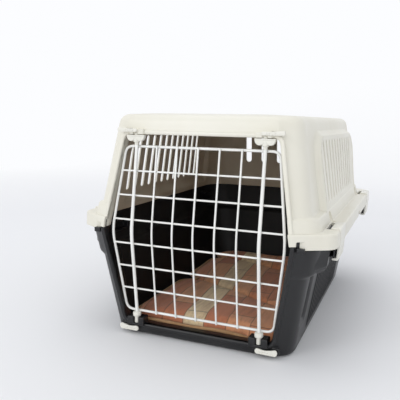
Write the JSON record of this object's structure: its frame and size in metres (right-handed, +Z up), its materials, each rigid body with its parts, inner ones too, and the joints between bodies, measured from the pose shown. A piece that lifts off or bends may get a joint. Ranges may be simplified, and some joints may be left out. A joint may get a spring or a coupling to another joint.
{
  "type": "small pet travel carrier",
  "caption": "Two-shell plastic travel carrier with a bent wire door on sprung bolts, slotted sides and back, hinged shell clips, a folding handle and a soft floor mat.",
  "frame": {"origin": "on the floor, under the middle of the outline", "axes": "+X across the door to the right seen from the front, +Y from the door to the back, +Z up"},
  "size_m": [0.33, 0.46, 0.285],
  "materials": {
    "ivory_plastic": "fine moulded grain, satin",
    "black_plastic": "fine moulded grain, satin",
    "white_coating": "glossy white coating on wire",
    "steel": "plain drawn steel",
    "mat_fabric": "printed soft cloth over wadding"
  },
  "bodies": {
    "carrier": {"lower_tub": "black_plastic", "upper_shell": "ivory_plastic", "mat": "mat_fabric", "clip_pins": "steel", "handle_pins": "steel"},
    "door": {"door_frame": "white_coating", "upright_wires": "white_coating", "cross_wires": "white_coating", "latch_rod_left": "white_coating", "latch_rod_right": "white_coating", "rod_bush_left": "ivory_plastic", "rod_bush_right": "ivory_plastic", "grip_spring_left": "steel", "grip_spring_right": "steel", "pivot_foot_left": "ivory_plastic", "pivot_foot_right": "ivory_plastic"},
    "thumb_grip_left": {"thumb_grip_left": "ivory_plastic"},
    "thumb_grip_right": {"thumb_grip_right": "ivory_plastic"},
    "slide_lock_top_left": {"slide_lock_top_left": "ivory_plastic"},
    "slide_lock_low_left": {"slide_lock_low_left": "ivory_plastic"},
    "slide_lock_top_right": {"slide_lock_top_right": "ivory_plastic"},
    "slide_lock_low_right": {"slide_lock_low_right": "ivory_plastic"},
    "shell_clip_front_left": {"shell_clip_front_left": "ivory_plastic"},
    "shell_clip_front_right": {"shell_clip_front_right": "ivory_plastic"},
    "shell_clip_rear_left": {"shell_clip_rear_left": "ivory_plastic"},
    "shell_clip_rear_right": {"shell_clip_rear_right": "ivory_plastic"},
    "carry_handle": {"carry_handle": "black_plastic"}
  },
  "joints": [
    {"name": "door_hinge", "type": "hinge", "parent": "carrier", "child": "door", "pos_m": [-0.0816, -0.20902, 0.1377], "axis": [0, 0, -1], "range_deg": [0, 130]},
    {"name": "thumb_grip_left_slide", "type": "slide", "parent": "door", "child": "thumb_grip_left", "axis": [0, 0, -1], "range_m": [0, 0.003], "stiffness_N_per_m": 300, "springref_m": -0.002, "deforming": ["grip_spring_left"]},
    {"name": "thumb_grip_right_slide", "type": "slide", "parent": "door", "child": "thumb_grip_right", "axis": [0, 0, -1], "range_m": [0, 0.003], "stiffness_N_per_m": 300, "springref_m": -0.002, "deforming": ["grip_spring_right"]},
    {"name": "slide_lock_top_left_slide", "type": "slide", "parent": "carrier", "child": "slide_lock_top_left", "axis": [1, 0, 0], "range_m": [0, 0.008]},
    {"name": "slide_lock_low_left_slide", "type": "slide", "parent": "carrier", "child": "slide_lock_low_left", "axis": [1, 0, 0], "range_m": [0, 0.008]},
    {"name": "slide_lock_top_right_slide", "type": "slide", "parent": "carrier", "child": "slide_lock_top_right", "axis": [-1, 0, 0], "range_m": [0, 0.008]},
    {"name": "slide_lock_low_right_slide", "type": "slide", "parent": "carrier", "child": "slide_lock_low_right", "axis": [-1, 0, 0], "range_m": [0, 0.008]},
    {"name": "shell_clip_front_left_hinge", "type": "hinge", "parent": "carrier", "child": "shell_clip_front_left", "pos_m": [-0.1585, -0.156, 0.1496], "axis": [0, 1, 0], "range_deg": [0, 95]},
    {"name": "shell_clip_front_right_hinge", "type": "hinge", "parent": "carrier", "child": "shell_clip_front_right", "pos_m": [0.1585, -0.156, 0.1496], "axis": [0, -1, 0], "range_deg": [0, 95]},
    {"name": "shell_clip_rear_left_hinge", "type": "hinge", "parent": "carrier", "child": "shell_clip_rear_left", "pos_m": [-0.1585, 0.172, 0.1496], "axis": [0, 1, 0], "range_deg": [0, 95]},
    {"name": "shell_clip_rear_right_hinge", "type": "hinge", "parent": "carrier", "child": "shell_clip_rear_right", "pos_m": [0.1585, 0.172, 0.1496], "axis": [0, -1, 0], "range_deg": [0, 95]},
    {"name": "carry_handle_hinge", "type": "hinge", "parent": "carrier", "child": "carry_handle", "pos_m": [-0.018, 0, 0.2765], "axis": [0, -1, 0], "range_deg": [0, 90]}
  ]
}
